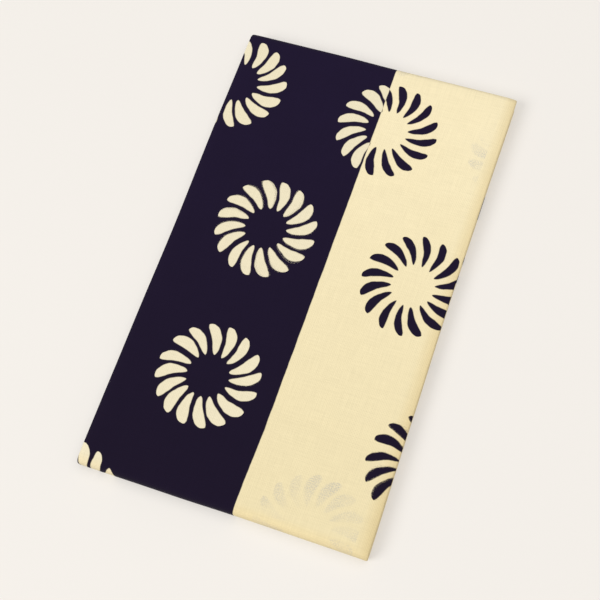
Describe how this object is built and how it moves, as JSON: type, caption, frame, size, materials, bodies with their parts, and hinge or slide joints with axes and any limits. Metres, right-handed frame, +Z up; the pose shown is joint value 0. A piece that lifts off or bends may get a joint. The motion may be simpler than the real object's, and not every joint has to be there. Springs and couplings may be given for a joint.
{
  "type": "folded tenugui towel",
  "caption": "Thin cotton hand towel with plain cut ends, folded and rolled flat into a pressed rectangular pack, dyed navy and cream with twisted chrysanthemum rings.",
  "frame": {"origin": "under the middle of the folded pack, on the surface that it lies on", "axes": "+X across the pack from its navy side to its cream side, +Y along it from the near wrapped fold to the far fold, +Z up through the layers"},
  "size_m": [0.109, 0.182, 0.0076],
  "materials": {
    "cloth": "matt plain-weave cotton, dyed through in deep navy on cream"
  },
  "bodies": {
    "root": {"folded_towel": "cloth"}
  },
  "joints": []
}
